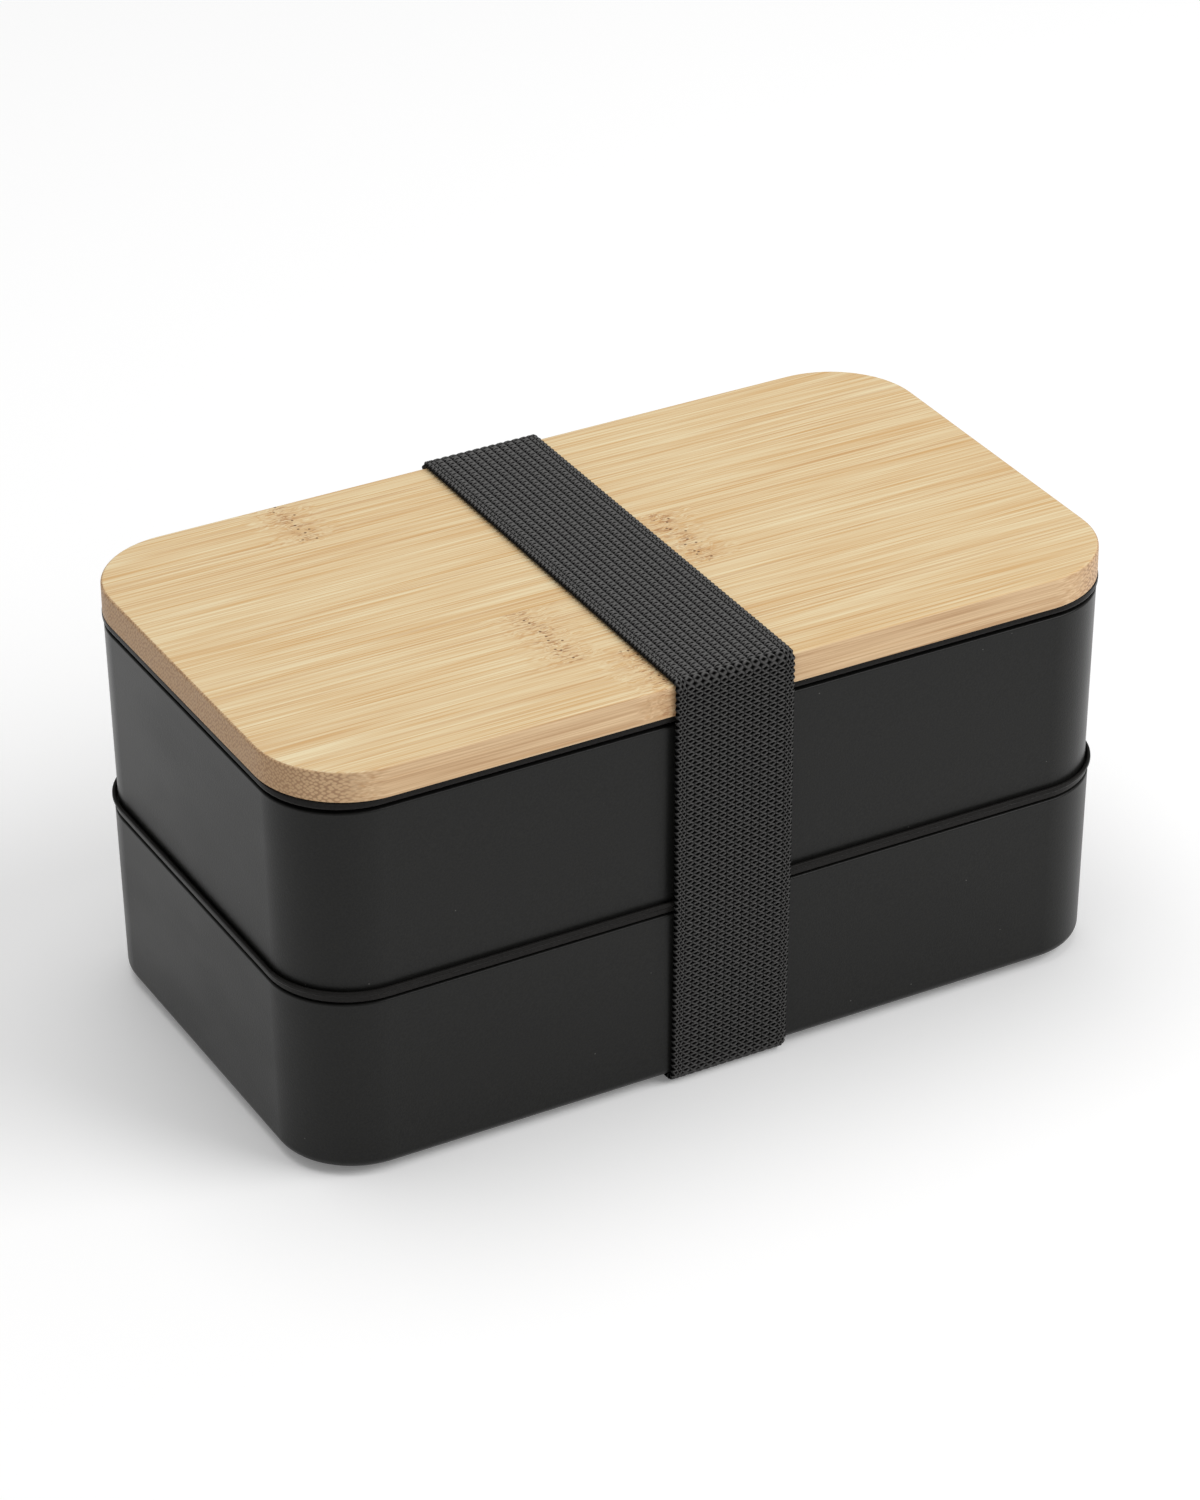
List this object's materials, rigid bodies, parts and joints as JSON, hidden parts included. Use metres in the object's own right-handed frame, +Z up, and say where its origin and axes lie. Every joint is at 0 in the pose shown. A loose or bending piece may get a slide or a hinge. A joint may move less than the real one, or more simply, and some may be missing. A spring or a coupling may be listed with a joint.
{
  "type": "bento lunch box",
  "caption": "Stacked lunch box: nested oblong tubs, an inner lid with a cutlery tray, a bamboo-topped sealing lid and an elastic band that holds the stack shut.",
  "frame": {"origin": "centre of the closed box's footprint, on the plane that the underside of the elastic band rests on", "axes": "+X along the box's length towards the end on the right, +Y towards the back long side, +Z up through the tubs to the bamboo lid"},
  "size_m": [0.185, 0.1072, 0.0933],
  "materials": {
    "bamboo": "sanded and lightly oiled, straight grain",
    "black_plastic": "fine satin texture",
    "frame_plastic": "smooth satin",
    "seal_silicone": "soft matt silicone",
    "insert_plastic": "smooth satin",
    "cutlery_plastic": "smooth satin",
    "band_elastic": "knitted elastic, matt",
    "band_thread": "polyester sewing thread"
  },
  "bodies": {
    "lower_tier": {"lower_tier": "black_plastic"},
    "lower_divider": {"lower_divider": "insert_plastic"},
    "inner_lid": {"inner_lid": "frame_plastic", "inner_lid_gasket": "seal_silicone"},
    "cutlery": {"fork": "cutlery_plastic", "spoon": "cutlery_plastic", "knife": "cutlery_plastic"},
    "upper_tier": {"upper_tier": "black_plastic"},
    "upper_divider": {"upper_divider": "insert_plastic"},
    "lid": {"bamboo_lid": "bamboo", "lid_frame": "frame_plastic", "lid_gasket": "seal_silicone"},
    "band": {"elastic_band": "band_elastic", "band_stitching": "band_thread"}
  },
  "joints": [
    {"name": "inner_lid_lift", "type": "slide", "parent": "lower_tier", "child": "inner_lid", "axis": [0, 0, 1], "range_m": [0, 0.065], "deforming": ["elastic_band", "band_stitching"]},
    {"name": "cutlery_lift", "type": "slide", "parent": "inner_lid", "child": "cutlery", "axis": [0, 0, 1], "range_m": [0, 0.065], "deforming": ["elastic_band", "band_stitching"]},
    {"name": "upper_tier_lift", "type": "slide", "parent": "cutlery", "child": "upper_tier", "axis": [0, 0, 1], "range_m": [0, 0.065], "deforming": ["elastic_band", "band_stitching"]},
    {"name": "lid_lift", "type": "slide", "parent": "upper_tier", "child": "lid", "axis": [0, 0, 1], "range_m": [0, 0.065], "deforming": ["elastic_band", "band_stitching"]},
    {"name": "lower_divider_slide", "type": "slide", "parent": "lower_tier", "child": "lower_divider", "axis": [1, 0, 0], "range_m": [-0.06, 0.035]},
    {"name": "upper_divider_slide", "type": "slide", "parent": "upper_tier", "child": "upper_divider", "axis": [1, 0, 0], "range_m": [-0.06, 0.035]},
    {"name": "band_slide", "type": "slide", "parent": "lower_tier", "child": "band", "axis": [1, 0, 0], "range_m": [0, 0.125]}
  ]
}
